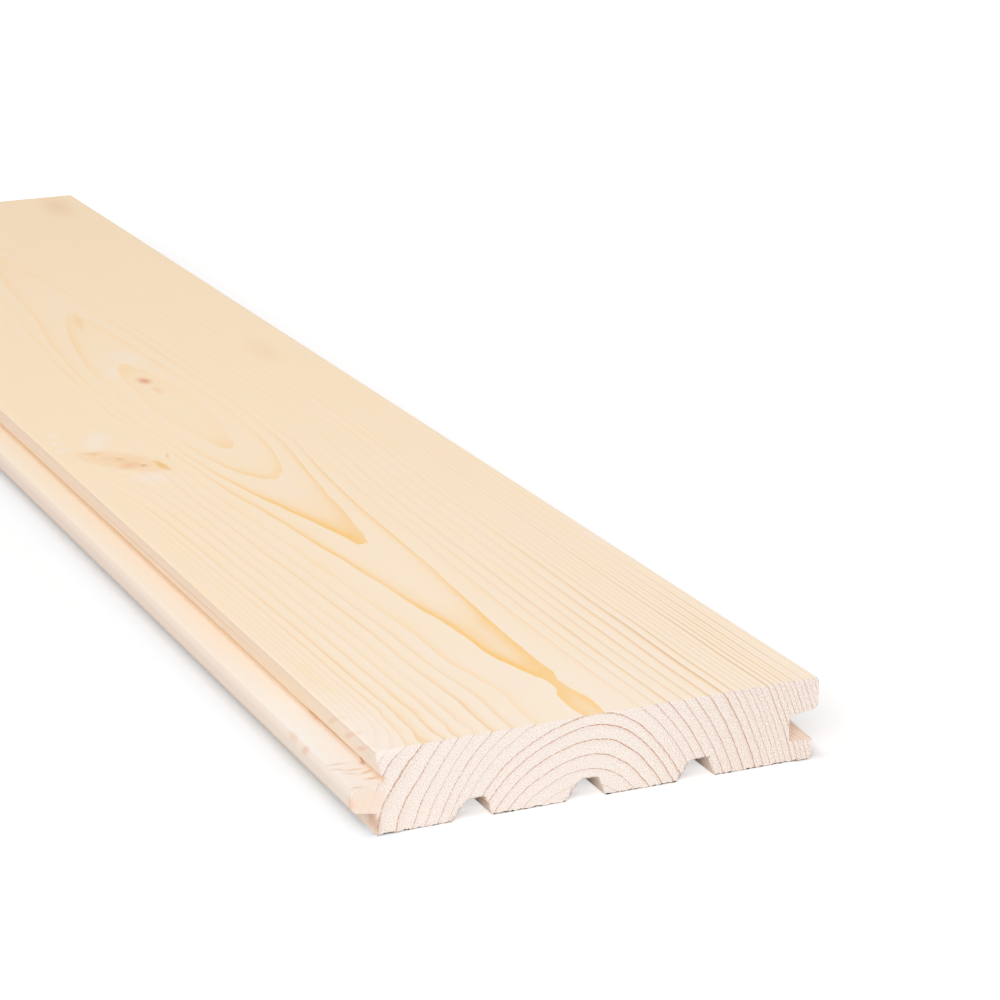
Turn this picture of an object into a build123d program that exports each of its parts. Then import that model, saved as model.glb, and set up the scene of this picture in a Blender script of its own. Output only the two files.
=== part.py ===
from build123d import *
import os

os.makedirs("parts", exist_ok=True)

# Board, lying with its face up, the tongue on -X, the groove on +X and the length along Y
board_length = 760
board_thickness = 25
cover_width = 137  # face width, from the shoulder over the tongue to the nose of the upper lip
shoulder_easing = 0.5  # radius on the face's edge over the tongue
lip_easing = 1.2  # radius on the face's edge over the groove

# Tongue, thinner towards its nose
tongue_reach = 7.5  # shoulder to nose
tongue_seat = 6.8  # underside of the root above the board's underside
tongue_root = 8.4  # thickness at the root
tongue_fall = 1  # drop of its top from root to nose
tongue_rise = 1.2  # rise of its underside from root to nose
nose_radius = 2.4

# Undercut of the shoulder, which takes the corner of the next board's lip
undercut_depth = 2.4
closing_land = 2  # upright part of the shoulder, where the two faces close

# Groove, cut to the tongue with these clearances
fit_clearance = 0.3  # above and below the tongue
nose_clearance = 2  # beyond the tongue's nose
groove_radius = 0.6
lip_radius = 2  # under the nose of the upper lip
lower_lip_setback = 0.5  # lower lip behind the upper one, so that the faces close first
lower_lip_easing = 1.2  # radius on the lower lip's bottom edge

# Relief channels along the underside
relief_count = 3
relief_first = 28.3  # shoulder to the middle of the first channel
relief_pitch = 34.6
relief_width = 12.5  # across the mouth
relief_depth = 6.2
tongue_flank = 54  # degrees from the underside, on the tongue's side
groove_flank = 70  # on the groove's side
tongue_corner = 1.5  # radius in the top corner on the tongue's side
groove_corner = 0.5
mouth_radius = 0.7

# Places across the board, with the middle of its overall width at 0
overall_width = tongue_reach + cover_width
nose_x = -overall_width / 2
shoulder_x = nose_x + tongue_reach
lip_x = shoulder_x + cover_width
lower_lip_x = lip_x - lower_lip_setback
groove_floor_x = lip_x - tongue_reach - nose_clearance

# Heights of the tongue and the groove above the underside
tongue_slope = tongue_fall / tongue_reach
tongue_top = tongue_seat + tongue_root
groove_low = tongue_seat - fit_clearance
groove_top = tongue_top + fit_clearance


def groove_roof(x):
    return groove_top - (lip_x - x) * tongue_slope


# Section of the tongue
with BuildSketch() as tongue:
    with BuildLine():
        FilletPolyline(
            (shoulder_x, tongue_seat),
            (nose_x, tongue_seat + tongue_rise),
            (nose_x, tongue_top - tongue_fall),
            (shoulder_x, tongue_top),
            radius=[0, nose_radius, nose_radius, 0],
            close=True,
        )
    make_face()

# Section of the undercut, whose lower side carries on the top of the tongue
with BuildSketch() as undercut:
    with BuildLine():
        undercut_root = tongue_top + undercut_depth * tongue_slope
        Polyline(
            (shoulder_x, tongue_top),
            (shoulder_x + undercut_depth, undercut_root),
            (shoulder_x, board_thickness - closing_land),
            close=True,
        )
    make_face()

# Section of the groove, between the upper lip and the lower lip
with BuildSketch() as groove:
    with BuildLine():
        FilletPolyline(
            (lip_x, groove_low),
            (lip_x, groove_top),
            (groove_floor_x, groove_roof(groove_floor_x)),
            (groove_floor_x, groove_low),
            radius=[0, 0, groove_radius, groove_radius],
            close=True,
        )
    make_face()

# Section of one relief channel
with BuildSketch() as relief:
    Trapezoid(relief_width, relief_depth, tongue_flank, groove_flank, align=(Align.NONE, Align.MIN))
    top_left, top_right = relief.vertices().group_by(Axis.Y)[-1].sort_by(Axis.X)
    fillet(top_left, tongue_corner)
    fillet(relief.vertices().sort_by_distance(top_right)[0], groove_corner)

# The floorboard, planed and moulded from one piece of softwood
with BuildPart() as floorboard:
    with BuildSketch(Plane.XZ) as section:
        with Locations((shoulder_x, 0)):
            Rectangle(cover_width, board_thickness, align=(Align.MIN, Align.MIN))
        add(tongue.sketch)
        add(undercut.sketch, mode=Mode.SUBTRACT)
        with Locations((lip_x, 0)):
            Rectangle(lower_lip_setback, groove_low, align=(Align.MAX, Align.MIN), mode=Mode.SUBTRACT)
        add(groove.sketch, mode=Mode.SUBTRACT)
        fillet(section.vertices().sort_by_distance((lower_lip_x, 0))[0], lower_lip_easing)
        fillet(section.vertices().sort_by_distance((lip_x, groove_top))[0], lip_radius)
        fillet(section.vertices().sort_by_distance((lip_x, board_thickness))[0], lip_easing)
        fillet(section.vertices().sort_by_distance((shoulder_x, board_thickness))[0], shoulder_easing)
        for channel in range(relief_count):
            middle_x = shoulder_x + relief_first + channel * relief_pitch
            with Locations((middle_x, 0)):
                add(relief.sketch, mode=Mode.SUBTRACT)
            for mouth_x in (middle_x - relief_width / 2, middle_x + relief_width / 2):
                fillet(section.vertices().sort_by_distance((mouth_x, 0))[0], mouth_radius)
    extrude(amount=board_length / 2, both=True)

floorboard.part.label = "floorboard"
export_step(floorboard.part, "parts/floorboard.step")
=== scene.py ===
import math
import bmesh
import bpy
import numpy as np
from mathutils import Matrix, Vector


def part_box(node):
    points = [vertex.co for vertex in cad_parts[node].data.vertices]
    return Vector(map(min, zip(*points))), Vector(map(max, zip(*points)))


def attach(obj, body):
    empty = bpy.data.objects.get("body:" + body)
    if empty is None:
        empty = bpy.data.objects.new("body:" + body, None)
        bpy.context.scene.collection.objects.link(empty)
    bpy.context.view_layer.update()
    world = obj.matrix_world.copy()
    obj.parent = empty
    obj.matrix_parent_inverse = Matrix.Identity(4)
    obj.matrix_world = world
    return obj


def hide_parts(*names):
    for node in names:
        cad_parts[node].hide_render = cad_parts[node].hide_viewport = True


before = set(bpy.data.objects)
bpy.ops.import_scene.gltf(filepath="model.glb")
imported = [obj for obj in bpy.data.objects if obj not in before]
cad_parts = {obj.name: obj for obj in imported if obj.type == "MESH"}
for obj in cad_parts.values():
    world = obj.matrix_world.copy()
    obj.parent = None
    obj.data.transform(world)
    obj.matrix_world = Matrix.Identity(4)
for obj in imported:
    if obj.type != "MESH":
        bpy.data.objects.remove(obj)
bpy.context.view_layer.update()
print("frame loaded")

mm = 0.001
boardLow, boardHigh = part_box("floorboard")
boardLength = 760  # mm
boardThickness = 25
coverWidth = 137  # face, from the shoulder over the tongue to the nose of the upper lip
shoulder = boardHigh.x - coverWidth * mm
origin = Vector((shoulder, boardLow.y, boardLow.z))  # figure is laid out from here, in mm


def colour(code):
    parts = [int(code[i:i + 2], 16) / 255 for i in (1, 3, 5)]
    linear = [c / 12.92 if c <= 0.04045 else ((c + 0.055) / 1.055) ** 2.4 for c in parts]
    return (*linear, 1.0)


def addNode(tree, kind, inputs=(), **settings):
    node = tree.nodes.new("ShaderNode" + kind)
    for name, value in settings.items():
        if name == "stops":  # of a colour ramp: place, and grey level or colour
            first, *others, last = value
            for i, (at, level) in enumerate((first, last, *others)):
                stop = node.color_ramp.elements[i] if i < 2 else node.color_ramp.elements.new(at)
                stop.position = at
                stop.color = colour(level) if isinstance(level, str) else (level, level, level, 1)
        elif name == "ramp":
            node.color_ramp.interpolation = value
        else:
            setattr(node, name, value)
    for socket, value in inputs.items() if isinstance(inputs, dict) else enumerate(inputs):
        if isinstance(value, bpy.types.NodeSocket):
            tree.links.new(value, node.inputs[socket])
        else:
            node.inputs[socket].default_value = value
    return node.outputs


# settings that many nodes share
smooth = {"interpolation_type": "SMOOTHSTEP"}
times = {"operation": "MULTIPLY"}
rgba = {"data_type": "RGBA"}


def newMaterial(name):
    material = bpy.data.materials.new(name)
    material.use_nodes = True
    material.node_tree.nodes.clear()
    return material, material.node_tree


# The tree that the board was sawn from, in mm from the shoulder, the near end and the underside
growth = {
    "pithAcross": 60.7,
    "flatness": 0.68,  # rings stand lower than they are wide
    "firstRing": -9,
    "radii": [14.5, 17.5, 20.5, 23.5, 26.5, 29.4, 32.2, 35.2, 38.1, 40.3, 43.6, 46.0, 48.5, 51.4,
              54.1, 57.3, 60.8, 63.2, 65.1, 67.1, 68.2, 69.8, 71.9],  # outer edge of each ring
    "outerRings": 24,
    "outerStep": 1.35,  # slow late growth, towards the grooved edge
    "seed": 4,
    # radius that the face cuts along the middle of the board, which makes the pointed figure
    "crest": [(-10, 40.2), (0, 40.12), (10, 40.03), (20, 40.19), (27, 40.25), (33, 40.24), (39, 40.1),
              (45, 40.06), (52, 39.95), (57, 39.83), (70, 39.82), (85, 39.78), (100, 39.48), (110, 39.3),
              (150, 38.6), (172, 38.1), (202, 37.5), (228, 36.7), (256, 35.2), (296, 32.2), (360, 30.6),
              (428, 32.2), (522, 35.2), (640, 38), (760, 40)],
    "crestSpread": 4,
    # where the middle of the figure wanders on the face
    "drift": [(0, 66.7), (10, 66.5), (20, 67.4), (30, 67.4), (40, 66.3), (57, 64), (80, 64.8), (110, 64.7),
              (172, 64.2), (256, 62), (296, 61), (403, 61.5), (428, 61), (475, 64), (522, 66.5), (760, 66)],
    "driftSpread": 8,
    "leanSpread": 21,
    # a branch beside the tongue pulls the rings outwards: middle, reach and pull
    "branch": [((-6, -2, 9), (15, 25, 18), 6.5), ((0, -2, 25), (10, 13, 9), 3)],
    # knots that the rings part round: middle, reach across and along, strength
    "partings": [((20.7, 300), (17, 38), 0.75), ((61.5, 403), (6, 16), 0.35)],
}


def along(table, y, spread):
    places, values = zip(*table)
    taps = [np.interp(y + spread * k, places, values) for k in (-1, -0.5, 0, 0.5, 1)]
    return np.mean(taps, axis=0)


def ringIndex(points):
    x, y, z = points.T.copy()
    for (px, py), (across, length), strength in growth["partings"]:
        x = x - strength * (x - px) * np.exp(-((x - px) / across) ** 2 - ((y - py) / length) ** 2)
    crest = along(growth["crest"], y, growth["crestSpread"])
    lean = along(growth["drift"], y, growth["driftSpread"]) - growth["pithAcross"]
    lean *= z / boardThickness * np.exp(-((x - growth["pithAcross"]) / growth["leanSpread"]) ** 2)
    pith = boardThickness - crest / growth["flatness"]
    radius = np.hypot(x - growth["pithAcross"] - lean, growth["flatness"] * (z - pith))
    for centre, reach, pull in growth["branch"]:
        d = sum(((p - c) / r) ** 2 for p, c, r in zip((x, y, z), centre, reach))
        radius = radius - pull * np.exp(-d)
    radii = list(growth["radii"])
    rng = np.random.default_rng(growth["seed"])
    for step in rng.uniform(0.75, 1.25, growth["outerRings"]):
        radii.append(radii[-1] + growth["outerStep"] * step)
    return np.interp(radius, radii, np.arange(len(radii))) + growth["firstRing"]


# The board, cut into a grid so that it can carry the rings, the torn lower edge and the chipped lip; in mm
board = {
    "acrossCuts": (1.1, 0.8, 2.0),  # first cut from the nose of the tongue, margin at the lip, step
    "heightCuts": (0.55, 0.3, 1.25),  # the same from the underside to the face
    "fineLength": 340,  # from the near end, where the figure shows best and the cuts are closer
    "fineCuts": 147,
    "coarseCuts": 59,
    "firstRow": 0.9,  # behind the near end, as deep as the torn edge goes
    "tearFrom": 0.3,  # from the shoulder
    "tearTo": 1.8,  # from the lip
    "tearTop": 6.4,  # just over the channels
    "tearCuts": 4,  # points added between two cuts
    "tearLift": 0.3,  # worn away all along the lower edge
    "tearDepth": 0.55,
    "channelTear": 0.3,
    "lipSetback": 0.5,  # lower lip behind the upper one
    "lipTop": 7,
    "chipLength": 17,  # corner of the lower lip that has split off
    "chipDepth": 1.8,
    "chipRoot": 3.5,
    "crease": 30,  # degrees, edges sharper than this stay crisp
    "seed": 7,
}


def cutAcross(shape, axis, places):
    normal = Vector((0, 0, 0))
    normal[axis] = 1
    for place in places:
        geometry = shape.verts[:] + shape.edges[:] + shape.faces[:]
        bmesh.ops.bisect_plane(shape, geom=geometry, dist=1e-7, plane_co=normal * float(place),
                               plane_no=normal)


def tornEdges(shape):
    left = shoulder + board["tearFrom"] * mm
    right = boardHigh.x - board["tearTo"] * mm
    found = []
    for e in shape.edges:
        onEnd = all(v.co.y < boardLow.y + 1e-5 for v in e.verts)
        below = all(v.co.z < boardLow.z + board["tearTop"] * mm for v in e.verts)
        inland = all(left < v.co.x < right for v in e.verts)
        if onEnd and below and inland and any(abs(f.normal.y) < 0.5 for f in e.link_faces):
            found.append(e)
    return found


def tearNearEnd(shape):
    # the saw tears the fibres along the underside and round the channels
    shape.normal_update()
    bmesh.ops.subdivide_edges(shape, edges=tornEdges(shape), cuts=board["tearCuts"])
    shape.normal_update()
    moves = {}
    for e in tornEdges(shape):
        for v in e.verts:
            sides = [f.normal for f in v.link_faces if abs(f.normal.y) < 0.5]
            moves[v] = sum(sides, Vector()).normalized()
    rng = np.random.default_rng(board["seed"])
    for v in sorted(moves, key=lambda v: (round(v.co.x, 6), round(v.co.z, 6))):
        tear = rng.random() ** 2
        if v.co.z < boardLow.z + 0.4 * mm:
            depth = board["tearLift"] + board["tearDepth"] * tear
        else:
            depth = board["channelTear"] * tear
        v.co -= moves[v] * depth * mm
    for v in shape.verts:
        if v.co.z < boardLow.z + 1e-5 and abs(v.co.y - boardLow.y - board["firstRow"] * mm) < 1e-5:
            v.co.z += board["tearLift"] * mm


def makeBoard():
    shape = bmesh.new()
    shape.from_mesh(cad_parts["floorboard"].data)
    bmesh.ops.remove_doubles(shape, verts=shape.verts, dist=1e-6)
    bmesh.ops.dissolve_limit(shape, angle_limit=math.radians(0.3), verts=shape.verts, edges=shape.edges)
    for axis, key in ((0, "acrossCuts"), (2, "heightCuts")):
        first, margin, step = [size * mm for size in board[key]]
        cutAcross(shape, axis, np.arange(boardLow[axis] + first, boardHigh[axis] - margin, step))
    cutAcross(shape, 1, [boardLow.y + board[key] * mm for key in ("firstRow", "fineLength")])
    for cuts, far in ((board["fineCuts"], False), (board["coarseCuts"], True)):
        long = [e for e in shape.edges if abs(e.verts[0].co.y - e.verts[1].co.y) > 0.1]
        long = [e for e in long if (max(v.co.y for v in e.verts) > boardHigh.y - 1e-5) == far]
        bmesh.ops.subdivide_edges(shape, edges=long, cuts=cuts, use_grid_fill=True)
    tearNearEnd(shape)
    lipEnd = boardHigh.x - board["lipSetback"] * mm
    for v in shape.verts:
        # the near corner of the lower lip has split away along the grain
        back = (v.co.y - boardLow.y) / mm / board["chipLength"]
        root = (v.co.x - lipEnd) / mm / board["chipRoot"] + 1
        if back < 1 and root > 0 and v.co.z < boardLow.z + board["lipTop"] * mm:
            v.co.x -= board["chipDepth"] * mm * (1 - back) * root
    mesh = bpy.data.meshes.new("floorboard.spruce")
    shape.to_mesh(mesh)
    shape.free()
    points = np.empty(len(mesh.vertices) * 3)
    mesh.vertices.foreach_get("co", points)
    points = (points.reshape(-1, 3) - np.array(origin)) / mm
    mesh.attributes.new("ring", "FLOAT", "POINT").data.foreach_set("value", ringIndex(points))
    for face in mesh.polygons:
        face.use_smooth = True
    mesh.set_sharp_from_angle(angle=math.radians(board["crease"]))
    piece = bpy.data.objects.new("floorboard.spruce", mesh)
    bpy.context.scene.collection.objects.link(piece)
    normals = piece.modifiers.new("even normals", "WEIGHTED_NORMAL")
    normals.keep_sharp = True
    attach(piece, "root")
    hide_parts("floorboard")
    return piece


# Planed spruce, untreated: pale early wood with narrow amber late wood, pinkish where it is sawn across
spruce = {
    # pale wood, at distances in mm from the near end; the tones mostly pale towards the near end, which is
    # painted light falling off along the board
    "face": [(0, "#FBE8D1"), (110, "#FBE5C8"), (380, "#FBE2C0"), (700, "#F8DDB9")],
    "wall": [(0, "#F8E7D8"), (60, "#F8E1C5"), (120, "#F6DFC8"), (300, "#F6E0CB"), (760, "#F3DAC2")],
    "ledge": [(0, "#F3E7DC"), (25, "#F4ECE4"), (50, "#F5F0E8"), (120, "#F8EAD9"), (320, "#F7E9D4"),
              (760, "#F5E4CE")],  # top of the tongue
    "nose": [(0, "#EDE0D3"), (110, "#ECDACA"), (300, "#EBD8C8"), (760, "#E8D3C0")],  # of the tongue, darker: painted shade on its rounded side
    "inner": [(0, "#F8E4D5"), (760, "#F4DAC4")],  # groove and channels
    "yellow": "#FAE2B4",
    "pink": "#FBE6DC",
    "ringStart": "#F8ECE0",
    "late": "#FBC356",
    "lateLeft": "#EFB757",
    "lateOuter": "#E2B070",
    "lateMoulded": "#E0B488",
    "endPale": "#F4E9E1",
    "endDull": "#DDCDC1",
    "endDullOuter": "#CFB8AA",  # coarser towards the grooved edge
    "endLine": "#AE5E12",
    "endLineWeak": "#A87E52",
    # strength of each ring's late wood, from the innermost
    "strength": [0.1, 0.1, 0.1, 0.1, 0.2, 0.5, 0.75, 0.8, 1.0, 0.9, 0.35, 0.5, 0.75, 0.45, 0.6, 0.65, 0.85,
                 0.7, 0.45, 0.55, 0.5, 0.5, 1.0, 0.5, 0.6, 0.45, 0.55, 0.65, 0.4, 0.5],
    "lastCounted": 12.5,  # rings past this one are too close to tell apart, and take their strength by chance
    # late wood from the ring's outer edge inwards, on the face, near the groove and on the sawn end
    "lateWide": [(0, 1), (0.05, 1), (0.1, 0.75), (0.2, 0.28), (0.38, 0), (1, 0)],
    "lateNarrow": [(0, 1), (0.12, 1), (0.19, 0.4), (0.34, 0), (1, 0)],
    "lateSawn": [(0, 1), (0.035, 1), (0.045, 0.15), (0.2, 0.04), (0.3, 0), (1, 0)],
    # sizes of the patterns across, along and up, in mm
    "waverGrain": (6, 50, 6),
    "cornerGrain": (3, 12, 3),
    "patchGrain": (16, 90, 8),
    "mottleGrain": (3.5, 45, 3.5),
    "fibreGrain": (0.5, 30, 0.5),
    "speckleGrain": (0.32, 0.32, 0.32),  # torn fibres, drawn coarser than they are so that they show
    "brokenGrain": (0.8, 0.8, 0.8),
    "rimGrain": (4, 4, 4),
    # smooth changes: where one starts and ends, then the amounts there if they aren't 0 and 1; places in mm
    "sawnSlope": (0.5, 0.8),
    "mouldedHeight": (24.9, 24.5),
    "ledgeSlope": (0.35, 0.85),
    "noseAcross": (-5.6, -6.8),
    "innerAcross": (5, 8),
    "outerAcross": (72, 92),  # close rings towards the groove
    "cornerAlong": (60, 10),  # near corner, where the rings waver most
    "cornerAcross": (45, 20),
    "cornerBroad": (0, 1, 1, 1.5),
    "waver": (0.2, 0.8, -0.055, 0.055),
    "cornerWaver": (0.2, 0.8, -0.2, 0.2),
    "chance": (0.1, 0.9, 0.2, 0.95),
    "endThin": (8, 18, 0.5, 1),
    "leftNear": (15, 65, 0.7, 0.52),  # late wood to the left of the pointed figure, in it and to the right
    "leftFar": (150, 330, 1, 0.4),
    "pointed": 0.8,
    "right": (25, 200, 0.8, 0.22),
    "hollowAt": 362,  # middle of the figure, where it is faint
    "hollow": (40, 62, 0.45, 1),
    "plainAcross": (4, 8, 0.16, 1),
    "farFades": [(60, 480, 1, 0.45), (460, 550, 1, 0.45)],
    "edgeFade": (0.5, 4, 0.15, 1),
    "patches": (0.3, 0.7, 0.6, 1.15),
    "mottleYellow": (0.5, 0.75, 0, 0.3),
    "mottlePink": (0.5, 0.25, 0, 0.35),
    "evenAlong": (60, 420, 0, 0.8),
    "startWithin": (0.1, 0.7, 0.2, 0),
    "startAlong": (60, 220, 1, 0.3),
    "startAcross": (5, 25),
    "dullAcross": (70, 118),
    "speckle": (0.3, 0.56),
    "endAcross": [(55, 105, 1, 1.8), (4, 18, 0.75, 1)],
    "endBroken": (0.35, 0.6, 0.4, 1.15),
    "fibreDepth": (0, 1, 0.03 * mm, 0.1 * mm),  # of the bump, planed and sawn
    "roughness": (0, 1, 0.55, 0.9),
    # uneven rims of large and small stains and painted shades, in mm
    "rimWarps": [(2.5, 4, 1.5), (0.7, 1.5, 0.5)],
    "smallMark": 1.6,
    # knots: middle, half sizes, turn in degrees, pale, dark and core colours, size and amount of the core
    "knots": [
        ((20.7, 300, 25), (9.5, 23, 60), 33, "#FADAB0", "#EFBE88", "#EEBC8C", 0.6, 0.4),
        ((61.3, 402.5, 25), (3.8, 7.6, 60), 0, "#F5D6B2", "#EBC096", "#D98A56", 0.85, 0.9),
    ],
    "knotRings": 26,
    "knotDark": 0.3,
    "knotRim": (1.15, 0.6, 0, 0.85),
    # stains and painted shades: middle, half sizes and turns in degrees, softness of the rim, colour, amount
    "stainsAndShades": [
        # pale wood at both ends of the large knot
        ((23.5, 275, 25), (10, 11, 6), (0, 0, 0), 1.0, "#F8EAE0", 0.5),
        ((19.5, 327, 25), (7.5, 21, 6), (0, 0, -22), 1.0, "#F8EAE0", 0.5),
        ((21.5, 293, 25), (6, 5, 6), (0, 0, 33), 0.9, "#EDB27E", 0.5),  # red and grey patches in it
        ((14, 313, 25), (4.5, 3.5, 6), (0, 0, 0), 0.9, "#ECB67E", 0.5),
        ((26, 291.5, 25), (1.7, 2.8, 4), (0, 0, -20), 0.9, "#C88A58", 0.5),
        ((20.5, 302, 25), (2, 3.2, 4), (0, 0, 0), 0.9, "#D2B498", 0.45),
        ((32, 288.5, 25), (2.2, 9, 4), (0, 0, 5), 0.7, "#EFBA5C", 0.7),  # resin beside it
        ((37.5, 299, 25), (1, 6.5, 4), (0, 0, -17), 0.9, "#EFBC74", 0.5),
        ((5, 322, 25), (5, 2.4, 4), (0, 0, 20), 1.0, "#F9ECDF", 0.5),  # swirl of the grain round it
        ((5.5, 331, 25), (5, 2.4, 4), (0, 0, 25), 1.0, "#F9ECDF", 0.5),
        ((6.5, 341, 25), (5, 2.6, 4), (0, 0, 30), 1.0, "#F9ECDF", 0.45),
        ((61.8, 387, 25), (2.4, 9, 5), (0, 0, 0), 0.9, "#F5C890", 0.55),  # smear before the small knot
        ((54, 420, 25), (4, 14, 4), (0, 0, -15), 1.0, "#F6EADF", 0.4),  # pale wood behind it
        ((66, 440, 25), (10, 18, 4), (0, 0, 0), 1.0, "#F6EADF", 0.35),
        ((65.5, 506, 25), (2.6, 22, 5), (0, 0, -10), 0.9, "#F5C87E", 0.45),  # amber tip of the figure
        ((122.5, 735, 25), (11, 42, 8), (0, 0, -8), 1.0, "#E6BE90", 0.42),  # brown streaks near the far end
        ((119, 428, 25), (9, 36, 8), (0, 0, -6), 1.0, "#F3CE9E", 0.35),
        ((2, 12, 25), (14, 50, 4), (0, 0, 0), 1.0, "#FBEEE5", 0.6),  # painted light: the near corner of the face paler, where it is lit brightest
        ((-0.2, 380, 23.9), (0.8, 900, 1.3), (0, 0, 0), 0.5, "#EBD2BA", 0.7),  # painted shade on the land of the shoulder, which also hides its highlight
        ((0.9, 180, 20.45), (3, 140, 0.4), (-0.55, 0, 0), 0.8, "#C89C74", 0.6),  # and a thin dark line below it
        ((2.4, 380, 15.5), (1.5, 900, 0.9), (0, 0, 0), 0.8, "#E3BC92", 0.4),  # painted shade along the crease at the tongue's root, with resin spots in it near the end
        ((2.1, 380, 16.7), (1.5, 900, 0.9), (0, 0, 0), 0.8, "#D6A66C", 0.6),
        ((2.1, 42, 16.8), (1.4, 32, 1), (0, 0, 0), 0.7, "#CC8C48", 0.5),
        ((2.2, 54, 16.6), (1.6, 7, 1.4), (0, 0, 0), 0.8, "#D8924C", 0.6),
        ((2.2, 16, 16.4), (1.4, 2.8, 1.5), (0, 0, 0), 0.7, "#CB834A", 0.75),
        # paler and duller wood across the shoulder
        ((0.8, 27, 21), (3, 6, 2), (-24, 0, 0), 1.0, "#FAE9D8", 0.5),
        ((0.8, 6, 22), (3, 6, 2), (-24, 0, 0), 1.0, "#E9D6CB", 0.5),
        ((0.8, 33.5, 22.3), (3, 11, 1.1), (-24, 0, 0), 1.0, "#EBBE94", 0.55),  # rings that cross it
        ((0.8, 20.5, 22.4), (3, 11, 1.2), (-24, 0, 0), 1.0, "#EBBE94", 0.6),
        ((0.8, 11.2, 21.8), (3, 11, 1.2), (-24, 0, 0), 1.0, "#EBBE94", 0.6),
        ((-4.1, 20.1, 14.7), (5.2, 1, 2), (0, 0, -24), 1.0, "#D2AC88", 0.5),  # and the tongue
        ((-5, 16.5, 14.5), (4.4, 1, 2), (0, 0, -50), 1.0, "#D2AC88", 0.45),
        ((-1.2, 13.4, 15), (4, 1, 2), (0, 0, -21), 1.0, "#D6B088", 0.55),
        ((-3, 11.6, 14.8), (3.8, 0.9, 2), (0, 0, -50), 1.0, "#D2AC88", 0.4),
        ((1, 9.8, 15.3), (3.4, 1, 2), (0, 0, 2), 1.0, "#D8A45C", 0.6),
        ((0.5, 5, 15.3), (3.4, 1.1, 2), (0, 0, -24), 1.0, "#DDA04C", 0.65),
        ((-5, 2, 14.5), (3, 0.9, 1.4), (0, 0, -20), 1.0, "#CFA27A", 0.5),
        ((-3, 0, 10.8), (8, 3, 6), (0, 0, 0), 0.6, "#EED8C5", 0.85),  # branch wood in the tongue's end
        ((-7.3, 0.5, 10.6), (1.6, 3, 2.6), (0, 0, 0), 0.9, "#EFB492", 0.5),
        ((-7, 37, 13.4), (1.8, 4.5, 1.9), (0, 0, 0), 1.0, "#D89E70", 0.5),  # brown specks on its nose
        ((-7, 47, 13.6), (1.8, 6, 1.9), (0, 0, 0), 1.0, "#DFB28E", 0.45),
        ((0, 3, 3.5), (2, 9, 4.5), (0, 0, 0), 0.9, "#CC9A7E", 0.6),  # painted shade at the foot of the near corner, under the tongue
    ],
}


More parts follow.
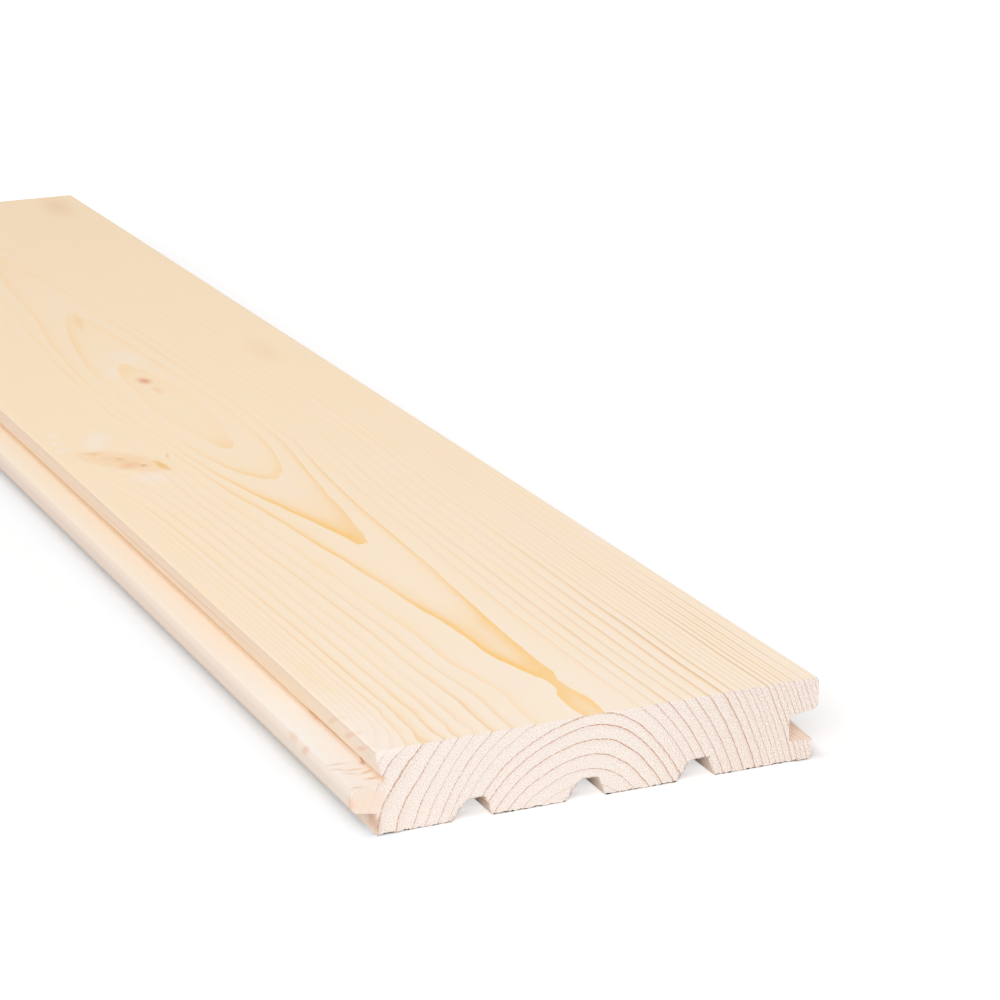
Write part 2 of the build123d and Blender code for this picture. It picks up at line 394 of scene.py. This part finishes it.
def makeSpruce():
    material, tree = newMaterial("planed spruce")
    coords = addNode(tree, "TexCoord")
    place = addNode(tree, "Mapping", {"Vector": coords["Object"], "Location": [-c / mm for c in origin],
                                      "Scale": (1 / mm, 1 / mm, 1 / mm)})[0]
    x, y, z = addNode(tree, "SeparateXYZ", [place])
    normal = addNode(tree, "SeparateXYZ", [coords["Normal"]])
    slope = addNode(tree, "Math", [normal[1]], operation="ABSOLUTE")[0]
    sawn = addNode(tree, "MapRange", [slope, *spruce["sawnSlope"]], **smooth)[0]
    moulded = addNode(tree, "MapRange", [z, *spruce["mouldedHeight"]], **smooth)[0]
    outer = addNode(tree, "MapRange", [x, *spruce["outerAcross"]], **smooth)[0]

    def grain(key, detail, part="Fac"):
        scale = [1 / size for size in spruce[key]]
        scaled = addNode(tree, "VectorMath", [place, scale], **times)[0]
        return addNode(tree, "TexNoise", {"Vector": scaled, "Scale": 1, "Detail": detail})[part]

    # rings waver, most of all in the near corner of the face
    ring = addNode(tree, "Attribute", attribute_name="ring")["Fac"]
    corner = addNode(tree, "MapRange", [y, *spruce["cornerAlong"]], **smooth)[0]
    for value, span in ((x, spruce["cornerAcross"]), (sawn, (1, 0))):
        factor = addNode(tree, "MapRange", [value, *span], **smooth)[0]
        corner = addNode(tree, "Math", [corner, factor], **times)[0]
    waver = addNode(tree, "MapRange", [grain("waverGrain", 4), *spruce["waver"]], **smooth)[0]
    ring = addNode(tree, "Math", [ring, waver], operation="ADD")[0]
    waver = addNode(tree, "MapRange", [grain("cornerGrain", 2), *spruce["cornerWaver"]], **smooth)[0]
    waver = addNode(tree, "Math", [waver, corner], **times)[0]
    ring = addNode(tree, "Math", [ring, waver], operation="ADD")[0]
    within = addNode(tree, "Math", [ring], operation="FRACT")[0]
    number = addNode(tree, "Math", [ring], operation="FLOOR")[0]

    # strength of each ring, one flat step of the ramp for each
    count = len(spruce["strength"])
    step = addNode(tree, "Math", [number, growth["firstRing"] - 1.5], operation="SUBTRACT")[0]
    step = addNode(tree, "Math", [step, count], operation="DIVIDE")[0]
    steps = [(i / count, value) for i, value in enumerate(spruce["strength"])]
    strength = addNode(tree, "ValToRGB", [step], stops=steps, ramp="CONSTANT")[0]
    chance = addNode(tree, "TexWhiteNoise", {"W": number}, noise_dimensions="1D")["Value"]
    chance = addNode(tree, "MapRange", [chance, *spruce["chance"]], **smooth)[0]
    uncounted = addNode(tree, "Math", [number, spruce["lastCounted"]], operation="GREATER_THAN")[0]
    uncounted = addNode(tree, "Math", [outer, uncounted], **times)[0]
    strength = addNode(tree, "MapRange", [uncounted, 0, 1, strength, chance], **smooth)[0]

    # late wood darkens slowly and stops sharply at the ring's outer edge; strong rings have more
    broad = addNode(tree, "Math", [strength, 0.55], **times)[0]
    broad = addNode(tree, "Math", [0.7, broad], operation="ADD")[0]
    broader = addNode(tree, "MapRange", [corner, *spruce["cornerBroad"]], **smooth)[0]
    broad = addNode(tree, "Math", [broad, broader], **times)[0]
    inside = addNode(tree, "Math", [1, within], operation="SUBTRACT")[0]
    inside = addNode(tree, "Math", [inside, broad], operation="DIVIDE")[0]
    wide, narrow = [addNode(tree, "ValToRGB", [inside], stops=spruce[key])[0]
                    for key in ("lateWide", "lateNarrow")]
    amount = addNode(tree, "MapRange", [outer, 0, 1, wide, narrow], **smooth)[0]

    # it is plain in the pointed figure, fainter to the left of that and soon lost to the right
    pointed = addNode(tree, "Math", [number, 0.5], operation="LESS_THAN")[0]
    near, far, right = [addNode(tree, "MapRange", [y, *spruce[key]], **smooth)[0]
                        for key in ("leftNear", "leftFar", "right")]
    left = addNode(tree, "Math", [near, far], **times)[0]
    side = addNode(tree, "MapRange", [pointed, 0, 1, left, spruce["pointed"]], **smooth)[0]
    side = addNode(tree, "MapRange", [outer, 0, 1, side, right], **smooth)[0]
    off = addNode(tree, "Math", [y, spruce["hollowAt"]], operation="SUBTRACT")[0]
    off = addNode(tree, "Math", [off], operation="ABSOLUTE")[0]
    hollow = addNode(tree, "MapRange", [off, *spruce["hollow"]], **smooth)[0]
    hollow = addNode(tree, "MapRange", [pointed, 0, 1, 1, hollow], **smooth)[0]
    plain = addNode(tree, "MapRange", [x, *spruce["plainAcross"]], **smooth)[0]
    plain = addNode(tree, "MapRange", [moulded, 0, 1, 1, plain], **smooth)[0]
    fades = [(y, span) for span in spruce["farFades"]]
    fades += [(x, spruce["edgeFade"]), (grain("patchGrain", 2), spruce["patches"])]
    fades = [addNode(tree, "MapRange", [value, *span], **smooth)[0] for value, span in fades]
    for factor in (strength, side, hollow, *fades, plain):
        amount = addNode(tree, "Math", [amount, factor], **times)[0]

    # pale wood of each kind of surface, mostly paler towards the near end as painted light
    tones = {}
    distant = addNode(tree, "Math", [y, boardLength], operation="DIVIDE")[0]
    for key in ("face", "wall", "ledge", "nose", "inner"):
        stops = [(at / boardLength, code) for at, code in spruce[key]]
        tones[key] = addNode(tree, "ValToRGB", [distant], stops=stops)[0]
    shaped = tones["wall"]
    # the tongue's nose takes a darker tone, which is painted shade
    for key, value, span in (("ledge", normal[2], "ledgeSlope"), ("nose", x, "noseAcross"),
                             ("inner", x, "innerAcross")):
        share = addNode(tree, "MapRange", [value, *spruce[span]], **smooth)[0]
        shaped = addNode(tree, "Mix", {0: share, 6: shaped, 7: tones[key]}, **rgba)[2]
    mottle = grain("mottleGrain", 3)
    early = tones["face"]
    for key, span in (("yellow", "mottleYellow"), ("pink", "mottlePink")):
        share = addNode(tree, "MapRange", [mottle, *spruce[span]], **smooth)[0]
        early = addNode(tree, "Mix", {0: share, 6: early, 7: colour(spruce[key])}, **rgba)[2]
    even = addNode(tree, "MapRange", [y, *spruce["evenAlong"]], **smooth)[0]
    even = addNode(tree, "Math", [moulded, even], operation="MAXIMUM")[0]
    evenTone = addNode(tree, "Mix", {0: moulded, 6: tones["face"], 7: shaped}, **rgba)[2]
    early = addNode(tree, "Mix", {0: even, 6: early, 7: evenTone}, **rgba)[2]

    # each ring starts paler
    start = addNode(tree, "MapRange", [within, *spruce["startWithin"]], **smooth)[0]
    for value, key in ((y, "startAlong"), (x, "startAcross")):
        factor = addNode(tree, "MapRange", [value, *spruce[key]], **smooth)[0]
        start = addNode(tree, "Math", [start, factor], **times)[0]
    early = addNode(tree, "Mix", {0: start, 6: early, 7: colour(spruce["ringStart"])}, **rgba)[2]
    late = colour(spruce["lateLeft"])
    for where, key in ((pointed, "late"), (outer, "lateOuter"), (moulded, "lateMoulded")):
        late = addNode(tree, "Mix", {0: where, 6: late, 7: colour(spruce[key])}, **rgba)[2]
    tone = addNode(tree, "Mix", {0: amount, 6: early, 7: late}, **rgba)[2]

    # sawn end: fine torn speckle, thin broken red-brown lines
    speckle = grain("speckleGrain", 0)
    dull, weak, line, pale, duller = [colour(spruce[key]) for key in (
        "endDull", "endLineWeak", "endLine", "endPale", "endDullOuter")]
    share = addNode(tree, "MapRange", [x, *spruce["dullAcross"]], **smooth)[0]
    dull = addNode(tree, "Mix", {0: share, 6: dull, 7: duller}, **rgba)[2]
    share = addNode(tree, "MapRange", [speckle, *spruce["speckle"]], **smooth)[0]
    end = addNode(tree, "Mix", {0: share, 6: dull, 7: pale}, **rgba)[2]
    thin = addNode(tree, "MapRange", [x, *spruce["endThin"]], **smooth)[0]
    thin = addNode(tree, "Math", [inside, thin], **times)[0]
    endAmount = addNode(tree, "ValToRGB", [thin], stops=spruce["lateSawn"])[0]
    firm = addNode(tree, "Math", [strength, 0.65], **times)[0]
    firm = addNode(tree, "Math", [0.35, firm], operation="ADD")[0]
    fades = [(x, span) for span in spruce["endAcross"]]
    fades.append((grain("brokenGrain", 2), spruce["endBroken"]))
    fades = [addNode(tree, "MapRange", [value, *span], **smooth)[0] for value, span in fades]
    for factor in (firm, *fades):
        endAmount = addNode(tree, "Math", [endAmount, factor], **times)[0]
    line = addNode(tree, "Mix", {0: strength, 6: weak, 7: line}, **rgba)[2]
    end = addNode(tree, "Mix", {0: endAmount, 6: end, 7: line}, **rgba)[2]
    tone = addNode(tree, "Mix", {0: sawn, 6: tone, 7: end}, **rgba)[2]

    # knots, stains and painted shades have uneven rims, the small ones less so
    warp = addNode(tree, "VectorMath", [grain("rimGrain", 3, "Color"), (0.5, 0.5, 0.5)],
                   operation="SUBTRACT")[0]
    coarse, fine = [addNode(tree, "VectorMath", [warp, reach, place], operation="MULTIPLY_ADD")[0]
                    for reach in spruce["rimWarps"]]

    def distance(source, middle, half, turns):
        turns = [math.radians(turn) for turn in turns]
        local = addNode(tree, "Mapping", {"Vector": source, "Location": middle, "Rotation": turns,
                                          "Scale": half}, vector_type="TEXTURE")[0]
        return addNode(tree, "VectorMath", [local], operation="LENGTH")["Value"]

    for middle, half, turn, pale, dark, core, size, most in spruce["knots"]:
        rim = distance(coarse, middle, half, (0, 0, turn))
        rings = addNode(tree, "Math", [rim, spruce["knotRings"]], **times)[0]
        rings = addNode(tree, "Math", [rings], operation="SINE")[0]
        body = colour(pale)
        for tint, span in ((dark, [rings, 0, 1, 0, spruce["knotDark"]]), (core, [rim, size, 0, 0, most])):
            share = addNode(tree, "MapRange", span, **smooth)[0]
            body = addNode(tree, "Mix", {0: share, 6: body, 7: colour(tint)}, **rgba)[2]
        share = addNode(tree, "MapRange", [rim, *spruce["knotRim"]], **smooth)[0]
        tone = addNode(tree, "Mix", {0: share, 6: tone, 7: body}, **rgba)[2]
    for middle, half, turns, soft, tint, most in spruce["stainsAndShades"]:
        rim = distance(fine if min(half) < spruce["smallMark"] else coarse, middle, half, turns)
        share = addNode(tree, "MapRange", [rim, 1, 1 - soft, 0, most], **smooth)[0]
        tone = addNode(tree, "Mix", {0: share, 6: tone, 7: colour(tint)}, **rgba)[2]

    # planing leaves fine fibre streaks, the saw a rough end
    height = addNode(tree, "Mix", {0: sawn, 2: grain("fibreGrain", 2), 3: speckle})[0]
    depth, roughness = [addNode(tree, "MapRange", [sawn, *spruce[key]], **smooth)[0]
                        for key in ("fibreDepth", "roughness")]
    bump = addNode(tree, "Bump", {"Height": height, "Strength": 1, "Distance": depth})[0]
    shader = addNode(tree, "BsdfPrincipled", {"Base Color": tone, "Roughness": roughness, "Normal": bump,
                                              "IOR": 1.5, "Specular IOR Level": 0.35})[0]
    addNode(tree, "OutputMaterial", [shader])
    return material


# Studio: white floor and world, one broad soft light from the left of the camera
studio = {
    "floorSize": 8.0,
    "floorColour": "#E7E7E7",
    # white added for the camera, at distances in metres from the board's foot; held low near the foot, which
    # paints a darker, tighter shadow along it
    "lift": [(0, 0.04), (0.001, 0.07), (0.002, 0.146), (0.003, 0.19), (0.004, 0.25), (0.006, 0.27),
             (0.02, 0.25), (0.05, 0.3), (0.15, 0.36), (0.6, 1)],
    # and under the board, painted light on the paper in the mouths of the channels and further in: distances
    # past its end, and amounts
    "footBehindEnd": 0.0025,
    "mouthLift": (0.0055, 0.0015, 0, 0.37),
    "channelLift": (-0.0015, -0.006, 0, 0.16),
    "underBoard": (-0.006, -0.01),
    # painted cool shade on the paper under the tongue, at distances from the board's foot
    "foot": [(0, "#CBD8E6"), (0.0005, "#D3DFED"), (0.002, "#E1EAF2"), (0.01, "#E4EAF0"), (0.02, "#E7E7E7")],
    "worldStrength": 0.72,
    "lamps": [  # name, place, aim, size in metres, watts
        ("front softbox", (-2.0, -3.58, 2.45), (0, -0.3, 0), 2.4, 110),
    ],
    "cameraAt": (-357.143, -1146.263, 347.955),  # mm
    "cameraTurn": (72.90685, 0.65561, -23.51005),  # degrees
    "lens": 116.4186,
}


def makeFloor():
    shape = bmesh.new()
    bmesh.ops.create_grid(shape, x_segments=1, y_segments=1, size=studio["floorSize"] / 2)
    mesh = bpy.data.meshes.new("floor")
    shape.to_mesh(mesh)
    shape.free()
    floor = bpy.data.objects.new("floor", mesh)
    bpy.context.scene.collection.objects.link(floor)

    # matt white paper, which the camera sees lifted to white away from the board's shadow, with painted shade
    # along the foot and painted light in the channels
    material, tree = newMaterial("white paper floor")
    paper = addNode(tree, "BsdfDiffuse", {"Color": colour(studio["floorColour"])})[0]
    coords = addNode(tree, "TexCoord")
    middle = Vector(((shoulder + boardHigh.x) / 2, 0, 0))
    half = Vector((boardHigh.x, boardHigh.y - studio["footBehindEnd"], 0)) - middle
    away = addNode(tree, "VectorMath", [coords["Object"], middle], operation="SUBTRACT")[0]
    away = addNode(tree, "VectorMath", [away], operation="ABSOLUTE")[0]
    away = addNode(tree, "VectorMath", [away, half], operation="SUBTRACT")[0]
    past = addNode(tree, "SeparateXYZ", [away])
    # painted light on the paper in the channels' mouths and further in
    mouth, channel = [addNode(tree, "MapRange", [past[1], *studio[key]], **smooth)[0]
                      for key in ("mouthLift", "channelLift")]
    under = addNode(tree, "Math", [mouth, channel], operation="ADD")[0]
    below = addNode(tree, "MapRange", [past[0], *studio["underBoard"]], **smooth)[0]
    under = addNode(tree, "Math", [under, below], **times)[0]
    beyond = addNode(tree, "VectorMath", [away, (0, 0, 0)], operation="MAXIMUM")[0]
    fromFoot = addNode(tree, "VectorMath", [coords["Object"], (shoulder, 0, 0)], operation="SUBTRACT")[0]
    besideFoot = addNode(tree, "CombineXYZ", [addNode(tree, "SeparateXYZ", [fromFoot])[0],
                                              addNode(tree, "SeparateXYZ", [beyond])[1]])[0]
    ramps = []
    for table, source in ((studio["lift"], beyond), (studio["foot"], besideFoot)):
        reach = table[-1][0]
        gap = addNode(tree, "VectorMath", [source], operation="LENGTH")["Value"]
        gap = addNode(tree, "Math", [gap, reach], operation="DIVIDE")[0]
        stops = [(d / reach, level) for d, level in table]
        ramps.append(addNode(tree, "ValToRGB", [gap], stops=stops)[0])
    lift, shade = ramps
    lift = addNode(tree, "Math", [lift, under], operation="ADD")[0]
    seenPaper = addNode(tree, "BsdfDiffuse", {"Color": shade})[0]
    glow = addNode(tree, "Emission", {"Strength": lift})[0]
    both = addNode(tree, "AddShader", [seenPaper, glow])[0]
    seen = addNode(tree, "LightPath")["Is Camera Ray"]
    mix = addNode(tree, "MixShader", [seen, paper, both])[0]
    addNode(tree, "OutputMaterial", [mix])
    mesh.materials.append(material)


def makeStudio():
    world = bpy.data.worlds.new("studio")
    bpy.context.scene.world = world
    world.use_nodes = True
    tree = world.node_tree
    tree.nodes.clear()
    rays = addNode(tree, "LightPath")
    seen = rays["Is Camera Ray"]
    for ray in ("Is Glossy Ray", "Is Transmission Ray"):
        seen = addNode(tree, "Math", [seen, rays[ray]], operation="MAXIMUM")[0]
    level = addNode(tree, "MapRange", [seen, 0, 1, studio["worldStrength"], 1])[0]
    sky = addNode(tree, "Background", {"Color": (1, 1, 1, 1), "Strength": level})[0]
    addNode(tree, "OutputWorld", [sky])

    for name, at, aim, size, watts in studio["lamps"]:
        lamp = bpy.data.lights.new(name, "AREA")
        lamp.size = size
        lamp.energy = watts
        holder = bpy.data.objects.new(name, lamp)
        holder.location = at
        holder.rotation_euler = (Vector(aim) - Vector(at)).to_track_quat("-Z", "Y").to_euler()
        bpy.context.scene.collection.objects.link(holder)

    cameraData = bpy.data.cameras.new("camera")
    cameraData.lens = studio["lens"]
    cameraData.sensor_width = 36
    cameraData.clip_end = 20
    camera = bpy.data.objects.new("camera", cameraData)
    camera.location = Vector(studio["cameraAt"]) * mm
    camera.rotation_euler = [math.radians(a) for a in studio["cameraTurn"]]
    bpy.context.scene.collection.objects.link(camera)
    bpy.context.scene.camera = camera
    bpy.context.scene.view_settings.view_transform = "Standard"


piece = makeBoard()
print("board cut:", len(piece.data.polygons), "faces")
piece.data.materials.append(makeSpruce())
print("spruce grown")
makeFloor()
makeStudio()
print("studio set")
